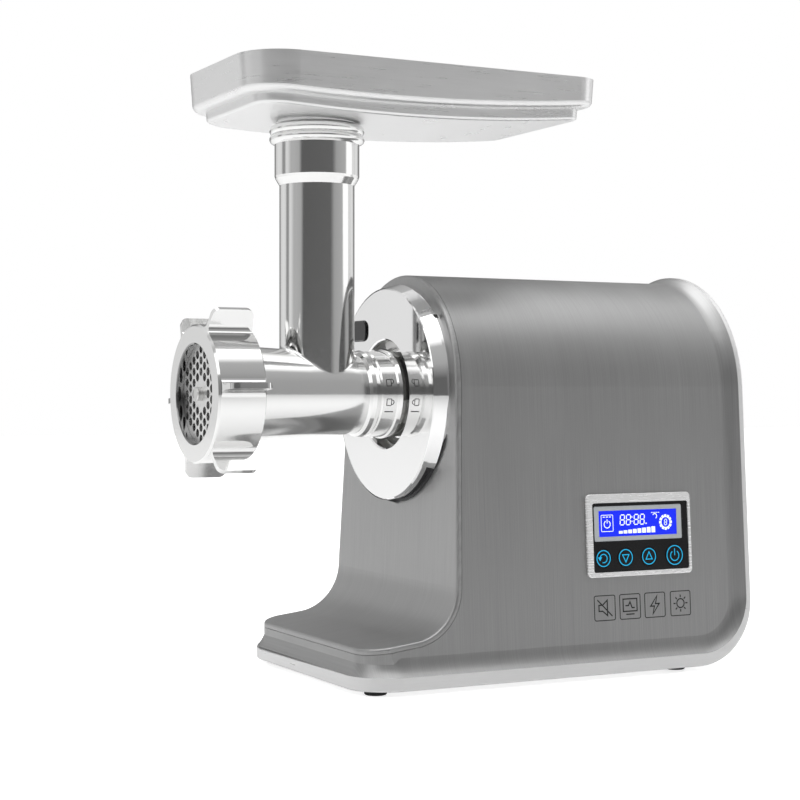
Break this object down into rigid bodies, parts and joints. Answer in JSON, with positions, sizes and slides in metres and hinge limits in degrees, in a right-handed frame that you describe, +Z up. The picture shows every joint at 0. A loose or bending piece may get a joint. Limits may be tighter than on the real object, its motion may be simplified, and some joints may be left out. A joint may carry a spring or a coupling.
{
  "type": "electric meat grinder",
  "caption": "Countertop electric meat grinder: arched motor housing on a long foot, horizontal grinding head with lugged ring nut, upright feed tube, food tray, display panel.",
  "frame": {"origin": "middle of the whole object's box, at the height of the surface that its feet stand on", "axes": "+Z up; X along the auger's axis from the ring nut towards the back; the control panel faces -Y"},
  "size_m": [0.3376, 0.1744, 0.3625],
  "materials": {
    "housing_steel": "brushed satin",
    "silver_trim": "satin",
    "black_rubber": "matte",
    "dark_plastic": "fine texture",
    "black_gloss": "gloss",
    "mirror_chrome": "mirror",
    "polished_casting": "polished casting",
    "tray_aluminium": "satin brushed",
    "tool_steel": "ground",
    "cast_aluminium": "as cast",
    "gear_nylon": "moulded",
    "gear_steel": "cut",
    "bronze": "sintered",
    "lamination": "laminated",
    "copper": "enamelled wire",
    "carbon": "carbon",
    "bearing_steel": "ground",
    "screw_steel": "zinc plated",
    "board_green": "solder mask",
    "components": "moulded",
    "display_frame": "satin",
    "display_blue": "lit liquid crystal"
  },
  "bodies": {
    "root": {"base_screws": "screw_steel", "base_tray": "silver_trim", "board_components": "components", "brush_holders": "dark_plastic", "carbon_brushes": "carbon", "collar_disc": "mirror_chrome", "collar_ring": "mirror_chrome", "collar_seat": "dark_plastic", "countershaft_bushes": "bronze", "display_board": "board_green", "display_module": "display_blue", "display_surround": "display_frame", "field_coils": "copper", "foot_front_far": "black_rubber", "foot_front_near": "black_rubber", "foot_rear_far": "black_rubber", "foot_rear_near": "black_rubber", "front_panel": "housing_steel", "gearbox_case": "cast_aluminium", "gearbox_cover": "cast_aluminium", "gearbox_screws": "screw_steel", "key_switches": "components", "main_housing": "housing_steel", "motor_bearings": "bearing_steel", "motor_bracket_front": "cast_aluminium", "motor_bracket_rear": "cast_aluminium", "motor_cradle": "dark_plastic", "motor_mounts": "black_rubber", "motor_screws": "screw_steel", "motor_stator": "lamination", "output_bush_front": "bronze", "output_bush_rear": "bronze", "panel_bezel": "silver_trim", "panel_glass": "black_gloss", "power_board": "board_green", "power_inlet": "dark_plastic", "rear_bezel": "silver_trim", "rear_panel": "dark_plastic", "rear_screws": "screw_steel"},
    "head": {"head_casting": "polished_casting", "head_bush": "bronze"},
    "output_drive": {"auger": "cast_aluminium", "knife": "tool_steel", "output_shaft": "tool_steel", "output_gear": "gear_steel"},
    "countershaft": {"countershaft": "tool_steel", "intermediate_gear": "gear_nylon"},
    "motor_rotor": {"motor_shaft": "tool_steel", "armature_core": "lamination", "armature_windings": "copper", "commutator": "copper", "cooling_fan": "dark_plastic"},
    "cutting_plate": {"cutting_plate": "tool_steel"},
    "ring_nut": {"ring_nut": "polished_casting"},
    "food_tray": {"food_tray": "tray_aluminium"},
    "release_button": {"release_button": "black_gloss"},
    "key_reverse": {"key_reverse": "black_gloss"},
    "key_down": {"key_down": "black_gloss"},
    "key_up": {"key_up": "black_gloss"},
    "key_power": {"key_power": "black_gloss"}
  },
  "joints": [
    {"name": "head_twist", "type": "hinge", "parent": "root", "child": "head", "pos_m": [0, 0, 0.17], "axis": [1, 0, 0], "range_deg": [0, 45]},
    {"name": "motor_spin", "type": "hinge", "parent": "root", "child": "motor_rotor", "pos_m": [0, 0, 0.09093], "axis": [1, 0, 0], "continuous": true},
    {"name": "countershaft_spin", "type": "hinge", "parent": "root", "child": "countershaft", "pos_m": [0, 0.028, 0.11949], "axis": [1, 0, 0], "continuous": true},
    {"name": "output_spin", "type": "hinge", "parent": "root", "child": "output_drive", "pos_m": [0, 0, 0.17], "axis": [1, 0, 0], "continuous": true},
    {"name": "plate_slide", "type": "slide", "parent": "head", "child": "cutting_plate", "axis": [-1, 0, 0], "range_m": [0, 0.0076]},
    {"name": "ring_nut_turn", "type": "hinge", "parent": "cutting_plate", "child": "ring_nut", "pos_m": [0, 0, 0.17], "axis": [-1, 0, 0], "range_deg": [0, 900]},
    {"name": "tray_lift", "type": "slide", "parent": "head", "child": "food_tray", "axis": [0, 0, 1], "range_m": [0, 0.03]},
    {"name": "button_press", "type": "slide", "parent": "root", "child": "release_button", "axis": [1, 0, 0], "range_m": [0, 0.004], "stiffness_N_per_m": 500, "springref_m": -0.002},
    {"name": "key_reverse_press", "type": "slide", "parent": "root", "child": "key_reverse", "axis": [0, 0.9981, -0.0621], "range_m": [0, 0.0008], "stiffness_N_per_m": 400, "springref_m": -0.0005},
    {"name": "key_down_press", "type": "slide", "parent": "root", "child": "key_down", "axis": [0, 0.9981, -0.0621], "range_m": [0, 0.0008], "stiffness_N_per_m": 400, "springref_m": -0.0005},
    {"name": "key_up_press", "type": "slide", "parent": "root", "child": "key_up", "axis": [0, 0.9981, -0.0621], "range_m": [0, 0.0008], "stiffness_N_per_m": 400, "springref_m": -0.0005},
    {"name": "key_power_press", "type": "slide", "parent": "root", "child": "key_power", "axis": [0, 0.9981, -0.0621], "range_m": [0, 0.0008], "stiffness_N_per_m": 400, "springref_m": -0.0005}
  ],
  "couplings": [
    {"joint": "countershaft_spin", "follows": "motor_spin", "ratio": -0.14286},
    {"joint": "output_spin", "follows": "motor_spin", "ratio": 0.02381},
    {"joint": "plate_slide", "follows": "ring_nut_turn", "m_per_rad": 0.00047746}
  ]
}
